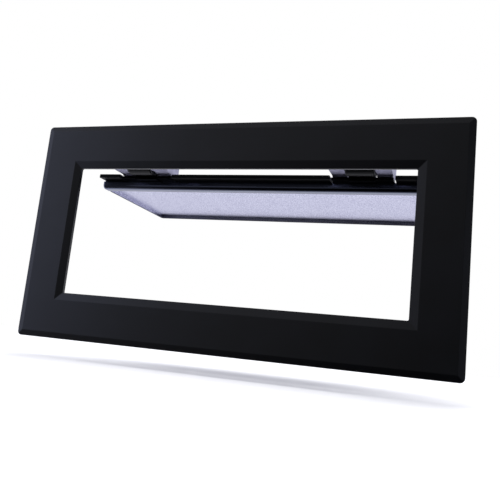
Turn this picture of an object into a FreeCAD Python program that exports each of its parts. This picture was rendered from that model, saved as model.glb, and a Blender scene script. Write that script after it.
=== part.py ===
import FreeCAD, Part
import math
import os

from FreeCAD import Vector

# Feed-opening door of a waste compactor: a black bezel frame that is fastened to
# the front of the cabinet, and an inward-opening flap hung on two friction hinges.
# Millimetres. +X is right as seen from the front, +Y runs into the cabinet, +Z is up.
# The origin is the centre of the frame's flat rear face, where it meets the cabinet.
# The flap is modelled standing open, level behind the frame.

# ---------------------------------------------------------------- driving sizes
# Bezel frame
frame_width = 460.0
frame_height = 237.0
border = 49.0
frame_thickness = 5.0
corner_radius = 4.5
rim_width = 6.2
rim_drop = 1.2
bevel_width = 8.0
bevel_drop = 2.0
opening_corner_radius = 1.2

# Studs clinched into the rear of the frame, each by a wide head
stud_radius = 2.0
stud_length = 14.0
stud_head_radius = 3.2
stud_head_depth = 2.5
stud_inset = 8.0
stud_tip_chamfer = 0.6

# Foam seal round the opening
seal_thickness = 1.5
seal_width = 8.0
seal_foot = 1.5
seal_setback = 0.5
seal_clearance = 0.3

# Hinge axis, from the rear face of the frame and from the top of the opening
axis_back = 29.5
axis_above = 19.7
hinge_inset = 57.75

# Flap
side_overlap = 1.6
top_overlap = 1.2
bottom_overlap = 12.3
sheet = 1.5
lip_depth = 4.2
lip_relief = 2.0
pan_corner_radius = 3.5
nose_depth = 12.0
nose_radius = 4.5
nose_height = 8.6
nose_slot = 4.0
nose_land_setback = 1.0
nose_end_radius = 2.4
core_thickness = 4.2
core_gap = 0.5
back_thickness = 4.4
back_front_overhang = 11.0
back_overhang = 0.9
back_skirt = 3.5
back_corner_radius = 4.0
back_edge_radius = 1.0

# Hinges
lug_gap = 29.75
lug_width = 16.9
lug_step = 1.2
lug_rear = 27.5
lug_top = 12.0
leaf_swing_gap = 0.54
lug_edge = 0.8
lug_taper_width = 1.3
lug_taper_height = 4.2
arm_drop = 5.5
base_thickness = 4.0
base_ear = 11.3
base_seal_gap = 1.0
base_corner_radius = 4.0
pin_radius = 4.0
pin_clearance = 0.05
pin_chamfer = 0.5
sleeve_wall = 2.0
disc_thickness = 1.0
disc_setback = 0.6
disc_bore_clearance = 0.3
knuckle_clearance = 0.3
knuckle_setback = 0.8
leaf_half_width = 31.5
leaf_setback = 2.0
leaf_depth = 42.0
leaf_thickness = 2.7
leaf_clearance = 0.8
leaf_corner_radius = 3.0
leaf_edge = 0.6
neck_clearance = 0.5
neck_foot = 1.0
notch_clearance = 1.4

# Backing plates let into the core under the hinge leaves
plate_setback = 2.0
plate_depth = 18.0
plate_clearance = 0.2

# Screws
screw_radius = 2.0
head_radius = 3.8
head_height = 2.2
bracket_screw_depth = 3.2
bracket_screw_ear = 5.5
bracket_screw_edge = 5.5
leaf_screw_grip = 3.4
leaf_screw_edge = 8.0
socket_radius = 1.45
socket_depth = 1.4

# ---------------------------------------------------------------- worked-out sizes
opening_width = frame_width - 2 * border
opening_height = frame_height - 2 * border
opening_top = opening_height / 2
hinge_x = opening_width / 2 - hinge_inset
axis_z = opening_top + axis_above

# Closed, the flap hangs with its lips this far behind the frame's rear face.
closed_gap = seal_thickness + seal_clearance
lip_z = axis_z - (axis_back - closed_gap)
face_z = lip_z + lip_depth
skin_top = face_z + sheet
back_z = skin_top + core_thickness
flap_half_width = opening_width / 2 + side_overlap
flap_front = axis_back + axis_above - top_overlap
flap_far = axis_back + axis_z + opening_height / 2 + bottom_overlap
pan_front = flap_front + nose_depth
land_y = flap_front + nose_land_setback
land_z = lip_z + nose_height

back_front = flap_front - back_front_overhang
back_side = flap_half_width + back_overhang
back_far = flap_far + back_overhang
lug_inner = lug_gap / 2
lug_outer = lug_inner + lug_width
knuckle_half = lug_inner - disc_thickness - knuckle_clearance
sleeve_radius = pin_radius + pin_clearance + sleeve_wall
base_half = lug_outer + base_ear
notch_half = lug_outer + notch_clearance
leaf_front = back_front + leaf_setback
leaf_far = leaf_front + leaf_depth
leaf_top = back_z + leaf_thickness

# The lugs stay inside the circle that the leaf's front corner draws when it swings under them.
lug_radius = math.hypot(leaf_front - axis_back, axis_z - leaf_top) - leaf_swing_gap
knuckle_radius = lug_radius - knuckle_setback
disc_radius = knuckle_radius - disc_setback
heel_z = leaf_top + leaf_clearance
lug_low = heel_z + lug_step
lug_reach = math.sqrt(lug_radius ** 2 - (axis_z - lug_low) ** 2)
heel_reach = math.sqrt(lug_radius ** 2 - (axis_z - heel_z) ** 2)
base_low = opening_top + seal_setback + seal_width + base_seal_gap
plate_y = pan_front + plate_setback
leaf_screw_front = (land_y + pan_front) / 2
leaf_screw_rear = plate_y + plate_depth / 2
stud_x = frame_width / 2 - stud_inset
stud_z = frame_height / 2 - stud_inset


# ---------------------------------------------------------------- helpers
def save(name, shape):
    shape.exportStep(os.path.join("parts", name + ".step"))


def box(x0, x1, y0, y1, z0, z1):
    return Part.makeBox(x1 - x0, y1 - y0, z1 - z0, Vector(x0, y0, z0))


def rod_x(radius, x0, x1, y, z):
    return Part.makeCylinder(radius, x1 - x0, Vector(x0, y, z), Vector(1, 0, 0))


def rod_y(radius, y0, y1, x, z):
    return Part.makeCylinder(radius, y1 - y0, Vector(x, y0, z), Vector(0, 1, 0))


def rod_z(radius, z0, z1, x, y):
    return Part.makeCylinder(radius, z1 - z0, Vector(x, y, z0), Vector(0, 0, 1))


def hexagon(radius, centre, along, depth):
    """A six-sided bar for a key socket, its corners on the radius."""
    side = Vector(0, 0, 1) if abs(along.z) < 0.5 else Vector(1, 0, 0)
    other = along.cross(side)
    ring = []
    for step in range(7):
        angle = math.radians(60 * step)
        ring.append(centre + side * (radius * math.cos(angle)) + other * (radius * math.sin(angle)))
    return Part.Face(Part.makePolygon(ring)).extrude(along * depth)


def round_rect(width, height, radius, y):
    """A rectangle with round corners in the XZ plane, centred on the Y axis."""
    hw = width / 2
    hh = height / 2
    diagonal = radius * (1 - math.sqrt(0.5))
    edges = []
    corners = [(1, 1), (-1, 1), (-1, -1), (1, -1)]
    for index, (sx, sz) in enumerate(corners):
        side = Vector(sx * hw, y, sz * (hh - radius))
        middle = Vector(sx * (hw - diagonal), y, sz * (hh - diagonal))
        cap = Vector(sx * (hw - radius), y, sz * hh)
        start, end = (side, cap) if sx * sz > 0 else (cap, side)
        edges.append(Part.Arc(start, middle, end).toShape())
        nx, nz = corners[(index + 1) % 4]
        if sx == nx:
            edges.append(Part.LineSegment(end, Vector(sx * hw, y, nz * (hh - radius))).toShape())
        else:
            edges.append(Part.LineSegment(end, Vector(nx * (hw - radius), y, sz * hh)).toShape())
    return Part.Wire(edges)


def prism(wire, depth):
    return Part.Face(wire).extrude(Vector(0, depth, 0))


def taper(first, second):
    return Part.makeLoft([first, second], True, True)


def profile_x(points, x0, x1):
    """A closed YZ outline run along X. A point with a third value is an arc's middle."""
    edges = []
    previous = points[0]
    index = 1
    closed = points + [points[0]]
    while index < len(closed):
        here = closed[index]
        if len(here) == 3:
            there = closed[index + 1]
            arc = Part.Arc(Vector(x0, *previous), Vector(x0, *here[:2]), Vector(x0, *there))
            edges.append(arc.toShape())
            previous = there
            index += 2
        else:
            edges.append(Part.LineSegment(Vector(x0, *previous[:2]), Vector(x0, *here[:2])).toShape())
            previous = here
            index += 1
    return Part.Face(Part.Wire(edges)).extrude(Vector(x1 - x0, 0, 0))


def edges_where(shape, test):
    found = []
    for edge in shape.Edges:
        if test(edge):
            found.append(edge)
    return found


def runs_along(edge, axis):
    if not isinstance(edge.Curve, (Part.Line, Part.LineSegment)):
        return False
    first, last = edge.Vertexes[0].Point, edge.Vertexes[-1].Point
    return abs((last - first).normalize().dot(axis)) > 0.999


def both_sides(name, make):
    """Saves a left and a right copy of what is modelled about X = 0."""
    for side, x in (("left", -hinge_x), ("right", hinge_x)):
        shape = make()
        shape.translate(Vector(x, 0, 0))
        save(name + "_" + side, shape)


# ---------------------------------------------------------------- frame pieces
def stud_places():
    return [(x, z) for x in (-stud_x, 0, stud_x) for z in (-stud_z, stud_z)]


def bracket_screw_places():
    x = base_half - bracket_screw_ear
    low = base_low + bracket_screw_edge
    high = axis_z + lug_top - bracket_screw_edge
    return [(sx * x, z) for sx in (-1, 1) for z in (low, high)]


def make_front_frame():
    """Flat bezel with a shallow sloping rim outside and a wider bevel round the opening."""
    front = -frame_thickness
    outline = round_rect(frame_width, frame_height, corner_radius, front + rim_drop)
    face_outline = round_rect(frame_width - 2 * rim_width, frame_height - 2 * rim_width, 1.0, front)
    frame = prism(outline, frame_thickness - rim_drop).fuse(taper(face_outline, outline))

    bevel_back = front + bevel_drop
    opening = round_rect(opening_width, opening_height, opening_corner_radius, bevel_back)
    mouth = round_rect(opening_width + 2 * bevel_width, opening_height + 2 * bevel_width,
                       opening_corner_radius + 1.0, front)
    frame = frame.cut(taper(mouth, opening))
    frame = frame.cut(prism(opening, frame_thickness))

    for x, z in stud_places():
        frame = frame.cut(rod_y(stud_head_radius, -stud_head_depth, 1, x, z))
    for side in (-hinge_x, hinge_x):
        for x, z in bracket_screw_places():
            frame = frame.cut(rod_y(screw_radius, -bracket_screw_depth, 1, side + x, z))
    return frame.removeSplitter()


def make_opening_seal():
    """Flat foam ring; its lower band is wider so that the flap's far lip lands on it."""
    rim = seal_setback + seal_width
    foot = bottom_overlap + seal_foot
    outline = round_rect(opening_width + 2 * rim, opening_height + rim + foot, seal_width, 0)
    ring = prism(outline, seal_thickness)
    ring.translate(Vector(0, 0, (rim - foot) / 2))
    hole = prism(round_rect(opening_width + 2 * seal_setback, opening_height + 2 * seal_setback,
                            opening_corner_radius + seal_setback, 0), seal_thickness)
    return ring.cut(hole)


def make_mounting_studs():
    studs = []
    for x, z in stud_places():
        shank = rod_y(stud_radius, 0, stud_length, x, z)
        tip = edges_where(shank, lambda e: abs(e.CenterOfMass.y - stud_length) < 0.01)
        head = rod_y(stud_head_radius, -stud_head_depth, 0, x, z)
        studs.append(head.fuse(shank.makeChamfer(stud_tip_chamfer, tip)))
    return Part.makeCompound(studs)


# ---------------------------------------------------------------- hinge pieces
def lug_outline():
    """Side view of a lug: flat underside below the pin, then a step down to the heel over the leaf."""
    front_y = axis_back - lug_reach
    heel_y = axis_back + heel_reach
    rear_y = axis_back + lug_rear
    return [
        (0, axis_z - arm_drop),
        (front_y, axis_z - arm_drop),
        (front_y, lug_low),
        (heel_y, lug_low),
        (heel_y, heel_z),
        (rear_y, heel_z),
        (rear_y, axis_z + lug_top),
        (0, axis_z + lug_top),
    ]


def lug_taper(sx):
    """What is cut away along a lug's outer lower edge, front to rear."""
    outer = sx * (lug_outer + 1)
    front = Vector(outer, base_thickness + 1, heel_z + lug_taper_height)
    points = [
        front,
        Vector(sx * lug_outer, front.y, heel_z + lug_taper_height),
        Vector(sx * (lug_outer - lug_taper_width), front.y, heel_z),
        Vector(sx * (lug_outer - lug_taper_width), front.y, heel_z - 1),
        Vector(outer, front.y, heel_z - 1),
        front,
    ]
    return Part.Face(Part.makePolygon(points)).extrude(Vector(0, axis_back + lug_rear, 0))


def make_hinge_bracket():
    """Fixed half of a hinge: a base plate with two lugs that hold the pin."""
    base_high = axis_z + lug_top
    bracket = box(-base_half, base_half, 0, base_thickness, base_low, base_high)
    upright = edges_where(bracket, lambda e: runs_along(e, Vector(0, 1, 0)))
    bracket = bracket.makeFillet(base_corner_radius, upright)
    for sx in (-1, 1):
        x0, x1 = sorted((sx * lug_inner, sx * lug_outer))
        lug = profile_x(lug_outline(), x0, x1).cut(lug_taper(sx))
        rear_y = axis_back + lug_rear
        back = edges_where(lug, lambda e: runs_along(e, Vector(1, 0, 0)) and e.CenterOfMass.y > rear_y - 0.01)
        bracket = bracket.fuse(lug.makeFillet(lug_edge, back))
    bracket = bracket.cut(rod_x(pin_radius, -lug_outer - 1, lug_outer + 1, axis_back, axis_z))
    for x, z in bracket_screw_places():
        bracket = bracket.cut(rod_y(screw_radius, -1, base_thickness + 1, x, z))
    return bracket.removeSplitter()


def make_bracket_screws():
    screws = []
    head_top = base_thickness + head_height
    for x, z in bracket_screw_places():
        shank = rod_y(screw_radius, -bracket_screw_depth, base_thickness, x, z)
        head = rod_y(head_radius, base_thickness, head_top, x, z)
        top = edges_where(head, lambda e: abs(e.CenterOfMass.y - head_top) < 0.01)
        head = head.makeFillet(head_height * 0.4, top)
        socket = hexagon(socket_radius, Vector(x, head_top, z), Vector(0, -1, 0), socket_depth)
        screws.append(shank.fuse(head).cut(socket).removeSplitter())
    return Part.makeCompound(screws)


def make_hinge_pin():
    pin = rod_x(pin_radius, -lug_outer, lug_outer, axis_back, axis_z)
    ends = edges_where(pin, lambda e: abs(abs(e.CenterOfMass.x) - lug_outer) < 0.01)
    return pin.makeChamfer(pin_chamfer, ends)


def make_friction_discs():
    discs = []
    for sx in (-1, 1):
        x0, x1 = sorted((sx * lug_inner, sx * (lug_inner - disc_thickness)))
        disc = rod_x(disc_radius, x0, x1, axis_back, axis_z)
        discs.append(disc.cut(rod_x(pin_radius + disc_bore_clearance, x0, x1, axis_back, axis_z)))
    return Part.makeCompound(discs)


def leaf_screw_places():
    x = leaf_half_width - leaf_screw_edge
    return [(sx * x, y) for sx in (-1, 1) for y in (leaf_screw_front, leaf_screw_rear)]


def make_hinge_leaf():
    """Moving half of a hinge: knuckle, neck, and a plate screwed to the flap."""
    plate = box(-leaf_half_width, leaf_half_width, leaf_front, leaf_far, back_z, leaf_top)
    far = edges_where(plate, lambda e: runs_along(e, Vector(0, 0, 1)) and e.CenterOfMass.y > leaf_far - 1)
    plate = plate.makeFillet(leaf_corner_radius, far)
    lead = edges_where(plate, lambda e: runs_along(e, Vector(1, 0, 0))
                       and e.CenterOfMass.y < leaf_front + 0.01 and e.CenterOfMass.z > leaf_top - 0.01)
    plate = plate.makeFillet(leaf_edge, lead)
    neck = box(-knuckle_half, knuckle_half, leaf_front, flap_front - neck_clearance,
               back_z - neck_foot, axis_z)
    knuckle = rod_x(knuckle_radius, -knuckle_half, knuckle_half, axis_back, axis_z)
    rims = edges_where(knuckle, lambda e: abs(abs(e.CenterOfMass.x) - knuckle_half) < 0.01)
    knuckle = knuckle.makeFillet(leaf_edge, rims)
    leaf = plate.fuse([neck, knuckle])
    leaf = leaf.cut(rod_x(sleeve_radius, -knuckle_half - 1, knuckle_half + 1, axis_back, axis_z))
    for x, y in leaf_screw_places():
        leaf = leaf.cut(rod_z(screw_radius, back_z - 1, leaf_top + 1, x, y))
        sink = Part.makeCone(screw_radius, head_radius, head_height,
                             Vector(x, y, leaf_top - head_height), Vector(0, 0, 1))
        leaf = leaf.cut(sink)
    return leaf.removeSplitter()


def make_friction_sleeve():
    sleeve = rod_x(sleeve_radius, -knuckle_half, knuckle_half, axis_back, axis_z)
    return sleeve.cut(rod_x(pin_radius + pin_clearance, -knuckle_half, knuckle_half, axis_back, axis_z))


def make_leaf_screws():
    screws = []
    for x, y in leaf_screw_places():
        shank = rod_z(screw_radius, back_z - leaf_screw_grip, leaf_top - head_height, x, y)
        head = Part.makeCone(screw_radius, head_radius, head_height,
                             Vector(x, y, leaf_top - head_height), Vector(0, 0, 1))
        socket = hexagon(socket_radius, Vector(x, y, leaf_top), Vector(0, 0, -1), socket_depth)
        screws.append(shank.fuse(head).cut(socket).removeSplitter())
    return Part.makeCompound(screws)


# ---------------------------------------------------------------- flap pieces
def leaf_screw_holes():
    """Tapped holes under both leaves, for whatever they are screwed into."""
    holes = []
    for side in (-hinge_x, hinge_x):
        for x, y in leaf_screw_places():
            holes.append(rod_z(screw_radius, back_z - leaf_screw_grip, back_z + 1, side + x, y))
    return holes


def make_flap_panel():
    """Sheet-metal face with a lip folded down along both sides and the far edge."""
    width = flap_half_width
    pan = box(-width, width, pan_front, flap_far, lip_z, skin_top)
    far = edges_where(pan, lambda e: runs_along(e, Vector(0, 0, 1)) and e.CenterOfMass.y > flap_far - 1)
    pan = pan.makeFillet(pan_corner_radius, far)
    over = edges_where(pan, lambda e: abs(e.CenterOfMass.z - skin_top) < 0.01
                       and e.CenterOfMass.y > pan_front + 1)
    pan = pan.makeFillet(sheet, over)
    inside = width - sheet
    hollow = box(-inside, inside, pan_front - 1, flap_far - sheet, lip_z - 1, face_z)
    far = edges_where(hollow, lambda e: runs_along(e, Vector(0, 0, 1))
                      and e.CenterOfMass.y > flap_far - sheet - 1)
    hollow = hollow.makeFillet(pan_corner_radius - sheet, far)
    relief = box(-width - 1, width + 1, pan_front - 1, pan_front + lip_relief, lip_z - 1, face_z)
    tongue = box(-inside, inside, pan_front - nose_slot, pan_front, face_z, skin_top)
    return pan.cut([hollow, relief]).fuse(tongue).removeSplitter()


def nose_front():
    """Front of the nose bar from its underside up: quarter round, then flat."""
    middle = nose_radius * (1 - math.sqrt(0.5))
    return [
        (flap_front + nose_radius, lip_z),
        (flap_front + middle, lip_z + middle, "arc"),
        (flap_front, lip_z + nose_radius),
        (flap_front, land_z),
    ]


def make_flap_nose():
    """Rounded bar along the hinge edge of the flap, slotted over the face sheet."""
    slot_y = pan_front - nose_slot
    outline = nose_front() + [
        (land_y, land_z),
        (land_y, back_z),
        (pan_front, back_z),
        (pan_front, skin_top),
        (slot_y, skin_top),
        (slot_y, face_z),
        (pan_front, face_z),
        (pan_front, lip_z),
    ]
    nose = profile_x(outline, -flap_half_width, flap_half_width)
    for hole in leaf_screw_holes():
        nose = nose.cut(hole)
    return nose.removeSplitter()


def make_nose_end_cap(side):
    """Rounded plug that closes one end of the nose bar."""
    outline = nose_front() + [(pan_front, land_z), (pan_front, lip_z)]
    end = side * (flap_half_width + nose_end_radius)
    x0, x1 = sorted((side * flap_half_width, end))
    cap = profile_x(outline, x0, x1)
    rim = edges_where(cap, lambda e: abs(e.CenterOfMass.x - end) < 0.01)
    return cap.makeFillet(nose_end_radius * 0.95, rim)


def make_backing_plate():
    plate = box(-leaf_half_width, leaf_half_width, plate_y, plate_y + plate_depth, skin_top, back_z)
    for x, y in leaf_screw_places():
        plate = plate.cut(rod_z(screw_radius, back_z - leaf_screw_grip, back_z + 1, x, y))
    return plate


def make_flap_core():
    """Rigid foam board between the face sheet and the back panel."""
    inset = back_skirt + core_gap
    side = back_side - inset
    core = box(-side, side, pan_front, back_far - inset, skin_top, back_z)
    reach = leaf_half_width + plate_clearance
    for centre in (-hinge_x, hinge_x):
        core = core.cut(box(centre - reach, centre + reach, plate_y - plate_clearance,
                            plate_y + plate_depth + plate_clearance, skin_top - 1, back_z + 1))
    return core


def make_flap_back_panel():
    """Black moulded tray over the core, notched for the hinges, its front edge standing proud."""
    top = back_z + back_thickness
    inner = back_side - back_skirt
    panel = box(-back_side, back_side, back_front, back_far, skin_top, top)
    panel = panel.cut(box(-back_side - 1, back_side + 1, back_front - 1, pan_front, skin_top - 1, back_z))
    panel = panel.cut(box(-inner, inner, pan_front - 1, back_far - back_skirt, skin_top - 1, back_z))
    upright = edges_where(panel, lambda e: runs_along(e, Vector(0, 0, 1))
                          and e.CenterOfMass.y > back_far - 1)
    panel = panel.makeFillet(back_corner_radius, upright)
    rim = edges_where(panel, lambda e: abs(e.CenterOfMass.z - top) < 0.01)
    panel = panel.makeFillet(back_edge_radius, rim)
    for centre in (-hinge_x, hinge_x):
        panel = panel.cut(box(centre - notch_half, centre + notch_half, back_front - 1,
                              leaf_far + notch_clearance, back_z - 1, top + 1))
    return panel.removeSplitter()


# ---------------------------------------------------------------- write the parts
os.makedirs("parts", exist_ok=True)

save("front_frame", make_front_frame())
save("opening_seal", make_opening_seal())
save("mounting_studs", make_mounting_studs())

both_sides("hinge_bracket", make_hinge_bracket)
both_sides("bracket_screws", make_bracket_screws)
both_sides("hinge_pin", make_hinge_pin)
both_sides("friction_discs", make_friction_discs)

both_sides("hinge_leaf", make_hinge_leaf)
both_sides("friction_sleeve", make_friction_sleeve)
both_sides("leaf_screws", make_leaf_screws)
both_sides("backing_plate", make_backing_plate)

save("flap_panel", make_flap_panel())
save("flap_nose", make_flap_nose())
save("nose_end_cap_left", make_nose_end_cap(-1))
save("nose_end_cap_right", make_nose_end_cap(1))
save("flap_core", make_flap_core())
save("flap_back_panel", make_flap_back_panel())
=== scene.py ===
import math

import bpy
from mathutils import Matrix, Vector


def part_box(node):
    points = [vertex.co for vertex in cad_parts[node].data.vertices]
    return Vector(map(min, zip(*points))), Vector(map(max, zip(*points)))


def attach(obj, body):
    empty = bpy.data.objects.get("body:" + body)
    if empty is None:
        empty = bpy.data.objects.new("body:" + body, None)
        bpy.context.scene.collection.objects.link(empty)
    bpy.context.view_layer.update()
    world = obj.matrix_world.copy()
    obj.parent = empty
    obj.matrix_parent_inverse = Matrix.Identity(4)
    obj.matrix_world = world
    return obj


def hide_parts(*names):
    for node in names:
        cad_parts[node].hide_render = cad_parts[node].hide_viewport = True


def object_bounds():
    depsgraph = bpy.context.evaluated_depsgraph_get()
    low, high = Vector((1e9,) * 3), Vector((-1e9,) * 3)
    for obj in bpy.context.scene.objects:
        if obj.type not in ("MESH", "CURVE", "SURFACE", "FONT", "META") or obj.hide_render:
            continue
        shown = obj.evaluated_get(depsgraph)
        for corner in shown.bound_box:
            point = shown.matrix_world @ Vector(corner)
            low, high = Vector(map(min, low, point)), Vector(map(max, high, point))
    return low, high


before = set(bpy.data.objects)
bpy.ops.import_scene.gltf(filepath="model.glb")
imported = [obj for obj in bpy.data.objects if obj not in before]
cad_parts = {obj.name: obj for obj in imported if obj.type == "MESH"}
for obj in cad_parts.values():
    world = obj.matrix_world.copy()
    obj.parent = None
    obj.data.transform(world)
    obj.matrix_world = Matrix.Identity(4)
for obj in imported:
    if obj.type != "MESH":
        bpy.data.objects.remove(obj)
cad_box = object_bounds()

bl_info = {
    "name": "Feed Opening Flap",
    "version": (1, 0, 0),
    "blender": (4, 5, 0),
    "location": "View3D > Sidebar > Feed Flap",
    "description": "Builds the finished look of a compactor's feed opening: bezel, hinges and flap",
    "category": "Object",
}

MM = 0.001
SIDES = ("left", "right")
# Height of the painted shade drawn along the lowest edge of the flap's lips.
LIP_SHADE_LINE = 0.35 * MM
# A rounded edge may move a piece's box by no more than this.
GROWTH_LIMIT = 0.2 * MM
SMOOTH_ANGLE = math.radians(32)

# The camera's own right and up, its place in metres, and its lens in millimetres.
CAMERA_RIGHT = Vector((0.9424, 0.3181, 0.1035))
CAMERA_UP = Vector((-0.0451, -0.1858, 0.9815))
CAMERA_PLACE = Vector((0.22495, -0.5587, -0.1093))
CAMERA_LENS = 44.03
SENSOR_WIDTH = 36
NEAR_CLIP = 0.01

FLOOR_SIZE = 12
FLOOR_GAP = 0.02


# ---------------------------------------------------------------- colour and nodes
def srgb(code):
    """Linear colour of an sRGB hex value such as 1c1c20."""
    linear = []
    for start in (0, 2, 4):
        value = int(code[start:start + 2], 16) / 255
        linear.append(value / 12.92 if value <= 0.04045 else ((value + 0.055) / 1.055) ** 2.4)
    return (*linear, 1.0)


def add_node(tree, kind, sockets=None, links=None, **settings):
    """Adds a node, sets its fields and its sockets' values, and links other nodes' outputs to it."""
    made = tree.nodes.new(kind)
    for field, value in settings.items():
        setattr(made, field, value)
    for socket, value in (sockets or {}).items():
        made.inputs[socket].default_value = value
    for socket, output in (links or {}).items():
        tree.links.new(output, made.inputs[socket])
    return made


def start_material(name, colour, metallic, roughness):
    """A material holding one Principled shader with its plain values on its own sockets."""
    material = bpy.data.materials.new(name)
    material.use_nodes = True
    tree = material.node_tree
    tree.nodes.clear()
    values = {"Base Color": colour, "Metallic": metallic, "Roughness": roughness}
    shader = add_node(tree, "ShaderNodeBsdfPrincipled", values)
    add_node(tree, "ShaderNodeOutputMaterial", links={"Surface": shader.outputs["BSDF"]})
    return material, tree, shader


def object_space(tree, stretch=(1, 1, 1)):
    """Object coordinates, stretched so that a pattern can run along one way."""
    place = add_node(tree, "ShaderNodeTexCoord")
    return add_node(tree, "ShaderNodeMapping", {"Scale": stretch},
                    {"Vector": place.outputs["Object"]}).outputs["Vector"]


def grain(tree, vector, size_mm, detail=2.0):
    """Noise whose lumps are about size_mm across."""
    return add_node(tree, "ShaderNodeTexNoise", {"Scale": 1 / (size_mm * MM), "Detail": detail},
                    {"Vector": vector}).outputs["Fac"]


def tint(tree, shader, fac, low, high, spread=(0.35, 0.65)):
    """Colour that wanders between two close shades."""
    ramp = add_node(tree, "ShaderNodeValToRGB", links={"Fac": fac})
    ramp.color_ramp.elements[0].position = spread[0]
    ramp.color_ramp.elements[1].position = spread[1]
    ramp.color_ramp.elements[0].color = low
    ramp.color_ramp.elements[1].color = high
    tree.links.new(ramp.outputs["Color"], shader.inputs["Base Color"])


def gloss(tree, shader, fac, low, high):
    """Roughness that wanders between two values."""
    spread = add_node(tree, "ShaderNodeMapRange", {"To Min": low, "To Max": high}, {"Value": fac})
    tree.links.new(spread.outputs["Result"], shader.inputs["Roughness"])


def relief(tree, shader, fac, depth_mm, strength=1.0):
    """Bump of a real depth."""
    bump = add_node(tree, "ShaderNodeBump", {"Distance": depth_mm * MM, "Strength": strength},
                    {"Height": fac})
    tree.links.new(bump.outputs["Normal"], shader.inputs["Normal"])


# ---------------------------------------------------------------- finishes
def powder_coated_steel(finish):
    """Black polyester powder coat, sprayed and baked: semi-matt, with a faint orange peel."""
    material, tree, shader = start_material("powder_coated_steel", finish.frame_black, 0.0, 0.4)
    shader.inputs["IOR"].default_value = 1.5
    space = object_space(tree)
    # Flow of the coat, about 40 mm: it lifts and drops the sheen a little over the face.
    tint(tree, shader, grain(tree, space, 40), finish.frame_black, finish.frame_sheen)
    gloss(tree, shader, grain(tree, space, 25, 4.0), 0.3, 0.38)
    # Orange peel is 1 to 2 mm across and about a hundredth of a millimetre deep.
    relief(tree, shader, grain(tree, space, 1.4), 0.012)
    return material


def satin_stainless(finish):
    """304 stainless sheet, bead blasted: soft silver with a fine grain and no direction."""
    material, tree, shader = start_material("satin_stainless", finish.face_silver, 1.0, 0.42)
    space = object_space(tree)
    # The blasted grain is 0.1 mm; drawn at 1.1 mm so that it shows at all.
    speckle = grain(tree, space, 1.1, 4.0)
    tint(tree, shader, speckle, finish.face_silver, finish.face_light, (0.4, 0.6))
    # Painted shade: the lips' lowest edge is drawn dark, for the dark reflection that this edge of the
    # metal shows.
    height = add_node(tree, "ShaderNodeSeparateXYZ", links={"Vector": space}).outputs["Z"]
    edge = add_node(tree, "ShaderNodeMath", {1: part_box("flap_panel")[0].z + LIP_SHADE_LINE}, {0: height},
                    operation="LESS_THAN")
    bright = shader.inputs["Base Color"].links[0].from_socket
    lip_shaded = add_node(tree, "ShaderNodeMix", {"B": finish.lip_painted_shade},
                      {"Factor": edge.outputs["Value"], "A": bright}, data_type="RGBA")
    tree.links.new(lip_shaded.outputs["Result"], shader.inputs["Base Color"])
    gloss(tree, shader, grain(tree, space, 18, 5.0), 0.3, 0.4)
    relief(tree, shader, speckle, 0.02)
    return material


def anodised_aluminium(finish):
    """Extruded bar, anodised satin: fine lines left along its length by the die."""
    material, tree, shader = start_material("anodised_aluminium", finish.nose_grey, 1.0, 0.32)
    # Die lines are 0.05 mm apart; drawn at 0.5 mm across and 60 mm long.
    lines = grain(tree, object_space(tree, (1 / 120, 1, 1)), 0.5, 3.0)
    tint(tree, shader, lines, finish.nose_grey, finish.nose_light)
    gloss(tree, shader, lines, 0.18, 0.26)
    relief(tree, shader, lines, 0.006)
    return material


def cast_zinc(finish):
    """Zinc die casting, tumbled and passivated: lilac-grey, slightly blotched and pitted."""
    material, tree, shader = start_material("cast_zinc", finish.lug_lilac, 1.0, 0.5)
    space = object_space(tree)
    tint(tree, shader, grain(tree, space, 7, 5.0), finish.lug_lilac, finish.lug_light)
    gloss(tree, shader, grain(tree, space, 4, 4.0), 0.44, 0.58)
    # Tumbling leaves dimples about half a millimetre across.
    relief(tree, shader, grain(tree, space, 0.6, 3.0), 0.02)
    return material


def coated_spring_steel(finish):
    """Pressed steel with a thin black e-coat: smoother and darker than the frame's powder."""
    material, tree, shader = start_material("coated_spring_steel", finish.leaf_black, 0.0, 0.34)
    # A thin oily coat: it mirrors less than a paint film.
    shader.inputs["Specular IOR Level"].default_value = 0.12
    space = object_space(tree)
    tint(tree, shader, grain(tree, space, 9, 4.0), finish.back_black, finish.leaf_black, (0.3, 0.9))
    gloss(tree, shader, grain(tree, space, 6, 3.0), 0.28, 0.4)
    relief(tree, shader, grain(tree, space, 0.8), 0.008)
    return material


def moulded_abs(finish):
    """Black ABS from a spark-eroded mould: an even fine leather-like pebble, low sheen."""
    material, tree, shader = start_material("moulded_abs", finish.back_black, 0.0, 0.55)
    shader.inputs["IOR"].default_value = 1.53
    shader.inputs["Specular IOR Level"].default_value = 0.25
    space = object_space(tree)
    # Spark erosion pebbles are 0.1 to 0.2 mm; drawn at 0.8 mm.
    pebble = add_node(tree, "ShaderNodeTexVoronoi", {"Scale": 1 / (0.8 * MM)}, {"Vector": space})
    tint(tree, shader, grain(tree, space, 60, 3.0), finish.back_black, finish.leaf_black)
    gloss(tree, shader, grain(tree, space, 30, 4.0), 0.5, 0.62)
    relief(tree, shader, pebble.outputs["Distance"], 0.03, 0.6)
    return material


def cellular(name, colour, second, cell_mm, roughness, depth_mm):
    """A foam's open-looking skin: rounded cells with darker rims."""
    material, tree, shader = start_material(name, colour, 0.0, roughness)
    space = object_space(tree)
    cells = add_node(tree, "ShaderNodeTexVoronoi", {"Scale": 1 / (cell_mm * MM)}, {"Vector": space})
    tint(tree, shader, cells.outputs["Distance"], colour, second, (0.2, 0.8))
    relief(tree, shader, cells.outputs["Distance"], depth_mm)
    return material


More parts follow.
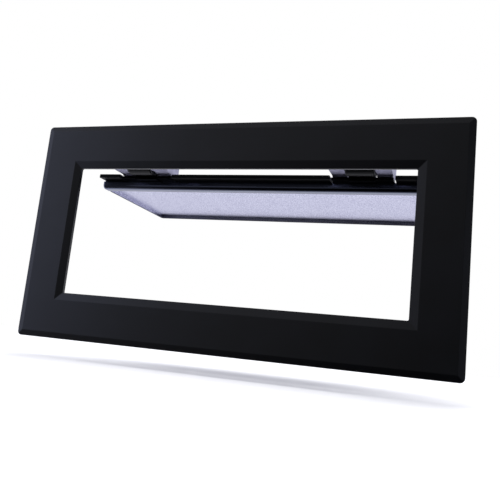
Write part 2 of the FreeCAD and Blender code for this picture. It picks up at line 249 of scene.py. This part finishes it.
def plated_steel(name, colour, light, roughness, grain_mm, stretch=(1, 1, 1)):
    """Steel fastener stock: plated, blackened or ground, with the marks that leaves."""
    material, tree, shader = start_material(name, colour, 1.0, roughness)
    marks = grain(tree, object_space(tree, stretch), grain_mm, 4.0)
    tint(tree, shader, marks, colour, light)
    gloss(tree, shader, marks, roughness - 0.05, roughness + 0.08)
    relief(tree, shader, marks, 0.006)
    return material


def bearing_polymer(finish):
    """Graphite-filled bearing plastic: charcoal, dull, faintly mottled."""
    material, tree, shader = start_material("bearing_polymer", finish.polymer_grey, 0.0, 0.6)
    space = object_space(tree)
    tint(tree, shader, grain(tree, space, 1.5, 5.0), finish.polymer_grey, srgb("4a4b50"))
    relief(tree, shader, grain(tree, space, 0.7, 3.0), 0.01)
    return material


def finish_for(name):
    """Each finish is made once and shared."""
    known = bpy.data.materials.get(name)
    if known:
        return known
    finish = bpy.context.scene.flap_finish
    makers = {
        "powder_coated_steel": lambda: powder_coated_steel(finish),
        "satin_stainless": lambda: satin_stainless(finish),
        "anodised_aluminium": lambda: anodised_aluminium(finish),
        "cast_zinc": lambda: cast_zinc(finish),
        "coated_spring_steel": lambda: coated_spring_steel(finish),
        "moulded_abs": lambda: moulded_abs(finish),
        "bearing_polymer": lambda: bearing_polymer(finish),
        # Closed-cell EPDM strip: cells of 0.6 mm behind a dull skin, drawn at 0.9 mm.
        "closed_cell_foam": lambda: cellular(name, finish.seal_black, srgb("2b2b2d"), 0.9, 0.85, 0.06),
        # Rigid PIR board: straw-coloured, cells of 0.3 mm drawn at 1.2 mm.
        "rigid_foam_board": lambda: cellular(name, srgb("c9bd98"), srgb("e0d6b4"), 1.2, 0.9, 0.15),
        # Bright zinc plate, clear passivated: slightly blue.
        "bright_zinc_plate": lambda: plated_steel(name, srgb("b4b8bf"), srgb("d2d5da"), 0.3, 2.5),
        # Black oxide over steel, oiled.
        "black_oxide_steel": lambda: plated_steel(name, srgb("1d1d20"), srgb("303035"), 0.38, 1.5),
        # Centreless-ground pin: fine rings round its axis, drawn 0.4 mm apart.
        "ground_steel": lambda: plated_steel(
            name, srgb("a6a8ac"), srgb("c6c8cc"), 0.24, 0.4, (1, 0.02, 0.02)),
    }
    return makers[name]()


# ---------------------------------------------------------------- modelling helpers
def deselect():
    if bpy.context.object and bpy.context.object.mode != "OBJECT":
        bpy.ops.object.mode_set(mode="OBJECT")
    bpy.ops.object.select_all(action="DESELECT")


def make_active(piece):
    deselect()
    piece.select_set(True)
    bpy.context.view_layer.objects.active = piece


def name_piece(name):
    piece = bpy.context.object
    piece.name = name
    piece.data.name = name
    return piece


def place_in_mesh(piece):
    """Moves the object's place, turn and scale into its mesh."""
    make_active(piece)
    bpy.ops.object.transform_apply(location=True, rotation=True, scale=True)


def pick_faces(piece, test):
    """Edit mode, with only the faces that pass the test on their centre and normal."""
    make_active(piece)
    bpy.ops.object.mode_set(mode="EDIT")
    bpy.ops.mesh.select_mode(type="FACE")
    bpy.ops.mesh.select_all(action="DESELECT")
    bpy.ops.object.mode_set(mode="OBJECT")
    for face in piece.data.polygons:
        face.select = test(face.center, face.normal)
    bpy.ops.object.mode_set(mode="EDIT")


def pick_edges(piece, test):
    """Edit mode, with only the edges that pass the test on their two ends."""
    make_active(piece)
    bpy.ops.object.mode_set(mode="EDIT")
    bpy.ops.mesh.select_mode(type="EDGE")
    bpy.ops.mesh.select_all(action="DESELECT")
    bpy.ops.object.mode_set(mode="OBJECT")
    points = piece.data.vertices
    for edge in piece.data.edges:
        edge.select = test(points[edge.vertices[0]].co, points[edge.vertices[1]].co)
    bpy.ops.object.mode_set(mode="EDIT")


def mesh_box(piece):
    points = [point.co for point in piece.data.vertices]
    return (Vector([min(p[axis] for p in points) for axis in range(3)]),
            Vector([max(p[axis] for p in points) for axis in range(3)]))


def soften(piece, width_mm, angle=25.0, segments=2, clamp=False):
    """Rounds every edge sharper than the angle, and smooths the faces between."""
    before = mesh_box(piece)
    make_active(piece)
    bevel = piece.modifiers.new("edge_radius", "BEVEL")
    bevel.width = width_mm * MM
    bevel.segments = segments
    bevel.limit_method = "ANGLE"
    bevel.angle_limit = math.radians(angle)
    bevel.use_clamp_overlap = clamp
    bpy.ops.object.modifier_apply(modifier=bevel.name)
    grown = max((a - b).length for a, b in zip(before, mesh_box(piece)))
    if grown > GROWTH_LIMIT:
        raise RuntimeError(piece.name + " grew by %.1f mm where its edges were rounded" % (grown / MM))
    bpy.ops.object.shade_smooth_by_angle(angle=SMOOTH_ANGLE)
    weigh = piece.modifiers.new("flat_faces", "WEIGHTED_NORMAL")
    weigh.keep_sharp = True
    bpy.ops.object.modifier_apply(modifier=weigh.name)


def finish_piece(piece, body, material, slot, *nodes):
    """Gives a piece its finish and its body, and hides the CAD nodes that it stands for."""
    piece.data.materials.clear()
    piece.data.materials.append(finish_for(material))
    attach(piece, body)
    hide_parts(*nodes)
    return piece


def joined_copy(node):
    """A copy of a CAD node with its loose triangles joined up and its flat faces made whole."""
    piece = bpy.data.objects.new(node + "_finished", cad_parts[node].data.copy())
    bpy.context.scene.collection.objects.link(piece)
    make_active(piece)
    bpy.ops.object.mode_set(mode="EDIT")
    bpy.ops.mesh.select_mode(type="VERT")
    bpy.ops.mesh.select_all(action="SELECT")
    bpy.ops.mesh.remove_doubles(threshold=0.002 * MM)
    bpy.ops.mesh.dissolve_limited(angle_limit=math.radians(0.5))
    bpy.ops.object.mode_set(mode="OBJECT")
    return piece


def softened_node(node, body, material, slot, edge_mm, angle=25.0, segments=2, clamp=False):
    """The CAD shape with its edges broken as the real piece's are."""
    piece = joined_copy(node)
    soften(piece, edge_mm, angle, segments, clamp)
    return finish_piece(piece, body, material, slot, node)


# ---------------------------------------------------------------- sizes and colours
class FlapSizes(bpy.types.PropertyGroup):
    rim_width: bpy.props.FloatProperty(
        name="Rim width", description="Width of the sloping rim round the bezel",
        default=6.2 * MM, min=0.001, unit="LENGTH")
    rim_drop: bpy.props.FloatProperty(
        name="Rim drop", description="How far the bezel's rim falls back",
        default=1.2 * MM, min=0.0, unit="LENGTH")
    border: bpy.props.FloatProperty(
        name="Border", description="From the bezel's outer edge to the opening",
        default=49.0 * MM, min=0.01, unit="LENGTH")
    bevel_width: bpy.props.FloatProperty(
        name="Bevel width", description="Width of the bevel round the opening",
        default=8.0 * MM, min=0.001, unit="LENGTH")
    bevel_drop: bpy.props.FloatProperty(
        name="Bevel drop", description="How far the bevel falls back to the opening",
        default=2.0 * MM, min=0.0, unit="LENGTH")
    corner_radius: bpy.props.FloatProperty(
        name="Corner radius", description="Outer corner radius of the bezel",
        default=4.5 * MM, min=0.0005, unit="LENGTH")
    opening_radius: bpy.props.FloatProperty(
        name="Opening corner radius", description="Corner radius of the opening",
        default=1.2 * MM, min=0.0005, unit="LENGTH")
    stud_radius: bpy.props.FloatProperty(
        name="Stud radius", description="Radius of the M4 studs' shank",
        default=2.0 * MM, min=0.0005, unit="LENGTH")
    stud_head_radius: bpy.props.FloatProperty(
        name="Stud head radius", description="Radius of the head that is clinched into the bezel",
        default=3.2 * MM, min=0.0005, unit="LENGTH")
    thread_pitch: bpy.props.FloatProperty(
        name="Thread pitch", description="Pitch of the M4 studs' thread",
        default=0.7 * MM, min=0.0003, unit="LENGTH")
    thread_depth: bpy.props.FloatProperty(
        name="Thread depth", description="Depth of the studs' thread",
        default=0.4 * MM, min=0.0001, unit="LENGTH")


def colour_property(name, description, code):
    return bpy.props.FloatVectorProperty(
        name=name, description=description, size=4, min=0, max=1, subtype="COLOR", default=srgb(code))


class FlapFinish(bpy.types.PropertyGroup):
    frame_black: colour_property("Frame black", "Powder coat of the bezel", "08090b")
    frame_sheen: colour_property("Frame sheen", "Lighter drift in the powder coat", "0d0e12")
    face_silver: colour_property("Face silver", "Stainless face of the flap", "adadc8")
    face_light: colour_property("Face light", "Bright grain in the stainless face", "ececfb")
    # Painted shade: the dark colour drawn along the lips' lowest edge, for the dark reflection there.
    lip_painted_shade: colour_property("Lip painted shade", "Dark line along the lowest edge of the lips", "3c3f4d")
    nose_grey: colour_property("Nose grey", "Anodised nose bar", "5d6172")
    nose_light: colour_property("Nose light", "Bright lines along the nose bar", "767b8e")
    lug_lilac: colour_property("Lug lilac", "Cast zinc of the hinge lugs", "aeadc4")
    lug_light: colour_property("Lug light", "Light blotches in the cast zinc", "c8c7dc")
    leaf_black: colour_property("Leaf black", "Coated steel of the hinge leaves", "0a0a0c")
    back_black: colour_property("Back black", "Moulded back panel of the flap", "040405")
    seal_black: colour_property("Seal black", "Foam round the opening", "151516")
    polymer_grey: colour_property("Polymer grey", "Friction sleeves and discs", "34353a")


# ---------------------------------------------------------------- frame body
class OBJECT_OT_flap_bezel(bpy.types.Operator):
    """Adds the black bezel with its sloping rim and the bevel round the opening"""
    bl_idname = "object.flap_bezel"
    bl_label = "Bezel"

    def execute(self, context):
        sizes = context.scene.flap_sizes
        low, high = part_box("front_frame")
        wide, tall = high.x, high.z
        deselect()
        front = low.y + sizes.rim_drop
        bpy.ops.mesh.primitive_cube_add(size=1, location=(0, (front + high.y) / 2, 0))
        bezel = name_piece("bezel")
        bezel.scale = (2 * wide, high.y - front, 2 * tall)
        place_in_mesh(bezel)

        pick_faces(bezel, lambda centre, normal: normal.y < -0.9)
        bpy.ops.mesh.inset(thickness=sizes.rim_width)
        bpy.ops.transform.translate(value=(0, -sizes.rim_drop, 0))
        bpy.ops.mesh.inset(thickness=sizes.border - sizes.rim_width - sizes.bevel_width)
        bpy.ops.mesh.inset(thickness=sizes.bevel_width)
        bpy.ops.transform.translate(value=(0, sizes.bevel_drop, 0))
        bpy.ops.mesh.delete(type="ONLY_FACE")
        pick_faces(bezel, lambda centre, normal: normal.y > 0.9)
        bpy.ops.mesh.inset(thickness=sizes.border)
        bpy.ops.mesh.delete(type="ONLY_FACE")

        hole_x = wide - sizes.border + 0.1 * MM
        hole_z = tall - sizes.border + 0.1 * MM
        pick_edges(bezel, lambda a, b: all(abs(p.x) < hole_x and abs(p.z) < hole_z for p in (a, b)))
        bpy.ops.mesh.bridge_edge_loops()
        bpy.ops.mesh.select_all(action="SELECT")
        bpy.ops.mesh.normals_make_consistent(inside=False)

        pick_edges(bezel, lambda a, b: abs(a.x - b.x) + abs(a.z - b.z) < 0.01 * MM
                   and abs(a.x) > wide - 0.1 * MM)
        bpy.ops.mesh.bevel(offset=sizes.corner_radius, segments=8, affect="EDGES")
        pick_edges(bezel, lambda a, b: abs(a.x - b.x) + abs(a.z - b.z) < 0.01 * MM
                   and abs(a.x) < hole_x and abs(a.z) < hole_z)
        bpy.ops.mesh.bevel(offset=sizes.opening_radius, segments=4, affect="EDGES")
        bpy.ops.object.mode_set(mode="OBJECT")
        # The coat rounds every fold to about a third of a millimetre.
        soften(bezel, 0.35, 7.0, 3)
        finish_piece(bezel, "frame", "powder_coated_steel", "frame_black", "front_frame")
        return {"FINISHED"}


class OBJECT_OT_flap_seal(bpy.types.Operator):
    """Adds the foam ring behind the bezel"""
    bl_idname = "object.flap_seal"
    bl_label = "Foam seal"

    def execute(self, context):
        softened_node("opening_seal", "frame", "closed_cell_foam", "seal_foam", 0.35, 40.0, 3)
        return {"FINISHED"}


class OBJECT_OT_flap_studs(bpy.types.Operator):
    """Adds the threaded studs on the bezel's rear face"""
    bl_idname = "object.flap_studs"
    bl_label = "Studs"

    def execute(self, context):
        sizes = context.scene.flap_sizes
        low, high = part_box("mounting_studs")
        core = sizes.stud_radius - sizes.thread_depth
        # The clinched head is a hair proud of the bezel's rear face, where the press left it.
        seat = 0.08 * MM
        deselect()
        bpy.ops.mesh.primitive_cylinder_add(
            vertices=40, radius=sizes.stud_head_radius, depth=seat - low.y,
            location=(0, (seat + low.y) / 2, 0), rotation=(math.pi / 2, 0, 0))
        head = name_piece("head")
        place_in_mesh(head)
        # A groove round the shank's foot, rolled to lock the head in.
        pick_faces(head, lambda centre, normal: normal.y > 0.9)
        bpy.ops.mesh.inset(thickness=0.4 * MM)
        bpy.ops.mesh.inset(thickness=0.15 * MM)
        bpy.ops.transform.translate(value=(0, -0.15 * MM, 0))
        bpy.ops.object.mode_set(mode="OBJECT")

        deselect()
        middle = (low.y + high.y) / 2
        bpy.ops.mesh.primitive_cylinder_add(
            vertices=24, radius=core, depth=high.y - low.y, location=(0, middle, 0),
            rotation=(math.pi / 2, 0, 0))
        stud = name_piece("mounting_studs_threaded")
        place_in_mesh(stud)
        # The end of the shank is chamfered so that a nut starts on it.
        pick_edges(stud, lambda a, b: min(a.y, b.y) > high.y - 0.01 * MM)
        bpy.ops.mesh.bevel(offset=0.5 * MM, segments=1, affect="EDGES")
        bpy.ops.object.mode_set(mode="OBJECT")

        deselect()
        # A 60 degree tooth, turned about the stud's axis by the screw modifier.
        bpy.ops.mesh.primitive_circle_add(
            vertices=3, radius=sizes.thread_pitch * 0.56, fill_type="NOTHING",
            location=(core + 0.13 * MM, 0.6 * MM, 0), rotation=(0, 0, -math.pi / 2))
        thread = name_piece("thread")
        place_in_mesh(thread)
        turns = int((high.y - 1.6 * MM) / sizes.thread_pitch)
        screw = thread.modifiers.new("turns", "SCREW")
        screw.axis = "Y"
        screw.steps = 16
        screw.render_steps = 16
        screw.iterations = turns
        screw.screw_offset = sizes.thread_pitch
        screw.use_merge_vertices = True
        bpy.ops.object.modifier_apply(modifier=screw.name)
        pick_edges(thread, lambda a, b: True)
        bpy.ops.mesh.select_all(action="DESELECT")
        bpy.ops.mesh.select_non_manifold()
        bpy.ops.mesh.edge_face_add()
        bpy.ops.mesh.select_all(action="SELECT")
        bpy.ops.mesh.normals_make_consistent(inside=False)
        bpy.ops.object.mode_set(mode="OBJECT")
        deselect()
        thread.select_set(True)
        head.select_set(True)
        stud.select_set(True)
        context.view_layer.objects.active = stud
        bpy.ops.object.join()

        x, z = high.x - sizes.stud_head_radius, high.z - sizes.stud_head_radius
        places = [(sx * x, sz * z) for sx in (-1, 0, 1) for sz in (-1, 1)]
        copies = []
        for place_x, place_z in places[1:]:
            other = stud.copy()
            other.data = stud.data.copy()
            context.scene.collection.objects.link(other)
            other.location = (place_x, 0, place_z)
            copies.append(other)
        stud.location = (places[0][0], 0, places[0][1])
        for piece in copies + [stud]:
            place_in_mesh(piece)
        deselect()
        for piece in copies + [stud]:
            piece.select_set(True)
        context.view_layer.objects.active = stud
        bpy.ops.object.join()
        bpy.ops.object.shade_smooth_by_angle(angle=math.radians(30))
        finish_piece(stud, "frame", "bright_zinc_plate", "zinc_steel", "mounting_studs")
        return {"FINISHED"}


class OBJECT_OT_flap_hinge_fixed(bpy.types.Operator):
    """Adds the cast brackets, their screws, the pins and the friction discs"""
    bl_idname = "object.flap_hinge_fixed"
    bl_label = "Fixed hinge parts"

    def execute(self, context):
        for side in SIDES:
            # Die-cast edges are broken by tumbling to about 0.4 mm.
            softened_node("hinge_bracket_" + side, "frame", "cast_zinc", "lug_zinc", 0.4, 30.0, 3)
            softened_node("bracket_screws_" + side, "frame", "bright_zinc_plate", "zinc_steel", 0.12, 40.0)
            softened_node("friction_discs_" + side, "frame", "bearing_polymer",
                          "friction_polymer", 0.15, 40.0)
            self.pin(side)
        return {"FINISHED"}

    def pin(self, side):
        low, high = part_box("hinge_pin_" + side)
        radius = (high.z - low.z) / 2
        centre = (low + high) / 2
        deselect()
        bpy.ops.mesh.primitive_cylinder_add(
            vertices=48, radius=radius, depth=high.x - low.x, location=centre,
            rotation=(0, math.pi / 2, 0))
        pin = name_piece("hinge_pin_" + side + "_ground")
        place_in_mesh(pin)
        end = (high.x - low.x) / 2
        pick_faces(pin, lambda middle, normal: abs(normal.x) > 0.9)
        # A shallow centre hole is left in each end by the grinding.
        bpy.ops.mesh.inset(thickness=radius * 0.72)
        bpy.ops.transform.resize(value=(1 - 0.9 * MM / end, 1, 1), center_override=centre)
        bpy.ops.object.mode_set(mode="OBJECT")
        soften(pin, 0.4, 40.0, 3)
        finish_piece(pin, "frame", "ground_steel", "pin_steel", "hinge_pin_" + side)


# ---------------------------------------------------------------- flap body
class OBJECT_OT_flap_hinge_moving(bpy.types.Operator):
    """Adds the hinge leaves with their knuckles, sleeves, screws and backing plates"""
    bl_idname = "object.flap_hinge_moving"
    bl_label = "Moving hinge parts"

    def execute(self, context):
        for side in SIDES:
            # The knuckle's own rims leave little room, so the radius gives way to them.
            softened_node("hinge_leaf_" + side, "flap", "coated_spring_steel", "leaf_black",
                          0.2, 30.0, 2, clamp=True)
            softened_node("leaf_screws_" + side, "flap", "black_oxide_steel", "black_screw", 0.12, 40.0)
            softened_node("friction_sleeve_" + side, "flap", "bearing_polymer",
                          "friction_polymer", 0.15, 40.0)
            softened_node("backing_plate_" + side, "flap", "bright_zinc_plate", "zinc_steel", 0.15, 40.0)
        return {"FINISHED"}


class OBJECT_OT_flap_face(bpy.types.Operator):
    """Adds the stainless face with its turned-down lip"""
    bl_idname = "object.flap_face"
    bl_label = "Face sheet"

    def execute(self, context):
        # A sheared sheet edge, deburred.
        softened_node("flap_panel", "flap", "satin_stainless", "face_steel", 0.18, 30.0, 3)
        return {"FINISHED"}


class OBJECT_OT_flap_nose(bpy.types.Operator):
    """Adds the nose bar and its rounded end caps"""
    bl_idname = "object.flap_nose"
    bl_label = "Nose bar"

    def execute(self, context):
        softened_node("flap_nose", "flap", "anodised_aluminium", "nose_aluminium", 0.2, 30.0, 3)
        for side in SIDES:
            softened_node("nose_end_cap_" + side, "flap", "anodised_aluminium", "nose_aluminium",
                          0.12, 30.0, 3)
        return {"FINISHED"}


class OBJECT_OT_flap_back(bpy.types.Operator):
    """Adds the moulded back panel and the foam board under it"""
    bl_idname = "object.flap_back"
    bl_label = "Back panel"

    def execute(self, context):
        softened_node("flap_back_panel", "flap", "moulded_abs", "back_abs", 0.4, 30.0, 3)
        softened_node("flap_core", "flap", "rigid_foam_board", "core_foam", 0.15, 40.0)
        return {"FINISHED"}


# ---------------------------------------------------------------- stage
class OBJECT_OT_flap_stage(bpy.types.Operator):
    """Adds the floor, the soft studio light and the camera"""
    bl_idname = "object.flap_stage"
    bl_label = "Stage"

    def execute(self, context):
        self.camera(context)
        self.floor()
        self.surround(context)
        self.lights()
        # Colours are shown as they are, so that white stays white and black stays black.
        context.scene.view_settings.view_transform = "Standard"
        return {"FINISHED"}

    def camera(self, context):
        back = CAMERA_RIGHT.cross(CAMERA_UP)
        turn = Matrix((CAMERA_RIGHT, CAMERA_UP, back)).transposed().to_4x4()
        bpy.ops.object.camera_add()
        camera = context.object
        camera.matrix_world = Matrix.Translation(CAMERA_PLACE) @ turn
        camera.data.lens = CAMERA_LENS
        camera.data.sensor_width = SENSOR_WIDTH
        camera.data.clip_start = NEAR_CLIP
        context.scene.camera = camera

    def floor(self):
        deselect()
        bpy.ops.mesh.primitive_plane_add(size=FLOOR_SIZE, location=(0, 0, cad_box[0][2] - FLOOR_GAP))
        floor = name_piece("floor")
        material, tree, shader = start_material("studio_floor", srgb("f8f8fa"), 0.0, 0.9)
        gloss(tree, shader, grain(tree, object_space(tree), 300), 0.85, 0.95)
        floor.data.materials.append(material)
        # The floor is only looked at: what the object mirrors is the studio's own light.
        floor.visible_glossy = False
        floor.visible_diffuse = False

    def surround(self, context):
        """White to look at; as light, bright behind and dim in front, with two glows at the left."""
        world = bpy.data.worlds.new("studio")
        context.scene.world = world
        world.use_nodes = True
        tree = world.node_tree
        tree.nodes.clear()
        place = add_node(tree, "ShaderNodeTexCoord")
        parts = add_node(tree, "ShaderNodeSeparateXYZ", links={"Vector": place.outputs["Generated"]})
        behind = add_node(tree, "ShaderNodeMapRange",
                          {"From Min": 0.1, "From Max": 0.8, "To Min": 0.0, "To Max": 1.05},
                          {"Value": parts.outputs["Y"]})
        # where a glow comes from, the cosines at which it starts and is full, and its strength
        glows = (
            ((-0.72, -0.25, 0.65), 0.1, 1.0, 0.5),
            ((-0.88, 0.2, -0.43), 0.8, 0.97, 2.0),
        )
        total = behind.outputs["Result"]
        for source, start, full, strength in glows:
            facing = add_node(tree, "ShaderNodeVectorMath", {1: source},
                              {0: place.outputs["Generated"]}, operation="DOT_PRODUCT")
            glow = add_node(tree, "ShaderNodeMapRange",
                            {"From Min": start, "From Max": full, "To Min": 0.0, "To Max": strength},
                            {"Value": facing.outputs["Value"]})
            added = add_node(tree, "ShaderNodeMath", links={0: total, 1: glow.outputs["Result"]})
            total = added.outputs["Value"]
        lit = add_node(tree, "ShaderNodeBackground", {"Color": srgb("f3f4ff")}, {"Strength": total})
        seen = add_node(tree, "ShaderNodeBackground", {"Color": (1, 1, 1, 1), "Strength": 1.0})
        path = add_node(tree, "ShaderNodeLightPath")
        mix = add_node(tree, "ShaderNodeMixShader",
                       links={0: path.outputs["Is Camera Ray"], 1: lit.outputs[0], 2: seen.outputs[0]})
        add_node(tree, "ShaderNodeOutputWorld", links={"Surface": mix.outputs[0]})

    def lights(self):
        # name, place, what it faces, width, height, watts, colour
        rig = (
            ("overhead", (0.0, 0.3, 1.6), (0, 0.1, 0), 1.6, 1.6, 9, "ffffff"),
            ("left_softbox", (-1.5, -0.9, 0.35), (-0.1, 0, 0), 1.2, 1.4, 4.5, "c9d4ff"),
            ("right_fill", (0.9, -1.2, 0.0), (0.1, 0, 0), 0.4, 1.2, 0.7, "e6eaff"),
        )
        for name, place, target, width, height, watts, code in rig:
            light = bpy.data.lights.new(name, "AREA")
            light.shape = "RECTANGLE"
            light.size = width
            light.size_y = height
            light.energy = watts
            light.color = srgb(code)[:3]
            lamp = bpy.data.objects.new(name, light)
            bpy.context.scene.collection.objects.link(lamp)
            lamp.location = place
            aim = Vector(target) - Vector(place)
            lamp.rotation_euler = aim.to_track_quat("-Z", "Y").to_euler()
        # A white ceiling: the same light over the whole floor, from a wide part of the sky.
        ceiling = bpy.data.lights.new("ceiling", "SUN")
        ceiling.energy = 2.6
        ceiling.angle = math.radians(70)
        lamp = bpy.data.objects.new("ceiling", ceiling)
        bpy.context.scene.collection.objects.link(lamp)
        # It lights the floor and isn't mirrored, or bare metal seen from above would burn out.
        lamp.visible_glossy = False


# ---------------------------------------------------------------- panel and registration
STEPS = (
    OBJECT_OT_flap_stage,
    OBJECT_OT_flap_bezel,
    OBJECT_OT_flap_seal,
    OBJECT_OT_flap_studs,
    OBJECT_OT_flap_hinge_fixed,
    OBJECT_OT_flap_hinge_moving,
    OBJECT_OT_flap_face,
    OBJECT_OT_flap_nose,
    OBJECT_OT_flap_back,
)


class VIEW3D_PT_feed_flap(bpy.types.Panel):
    bl_idname = "VIEW3D_PT_feed_flap"
    bl_label = "Feed Opening Flap"
    bl_space_type = "VIEW_3D"
    bl_region_type = "UI"
    bl_category = "Feed Flap"

    def draw(self, context):
        for group in (context.scene.flap_sizes, context.scene.flap_finish):
            column = self.layout.column(align=True)
            for name in group.__annotations__:
                column.prop(group, name)
        for step in STEPS:
            self.layout.operator(step.bl_idname)


CLASSES = (FlapSizes, FlapFinish, *STEPS, VIEW3D_PT_feed_flap)


def register():
    for each in CLASSES:
        bpy.utils.register_class(each)
    bpy.types.Scene.flap_sizes = bpy.props.PointerProperty(type=FlapSizes)
    bpy.types.Scene.flap_finish = bpy.props.PointerProperty(type=FlapFinish)


def unregister():
    del bpy.types.Scene.flap_finish
    del bpy.types.Scene.flap_sizes
    for each in reversed(CLASSES):
        bpy.utils.unregister_class(each)


def main():
    register()
    for step in STEPS:
        group, name = step.bl_idname.split(".")
        getattr(getattr(bpy.ops, group), name)()


if __name__ == "__main__":
    main()
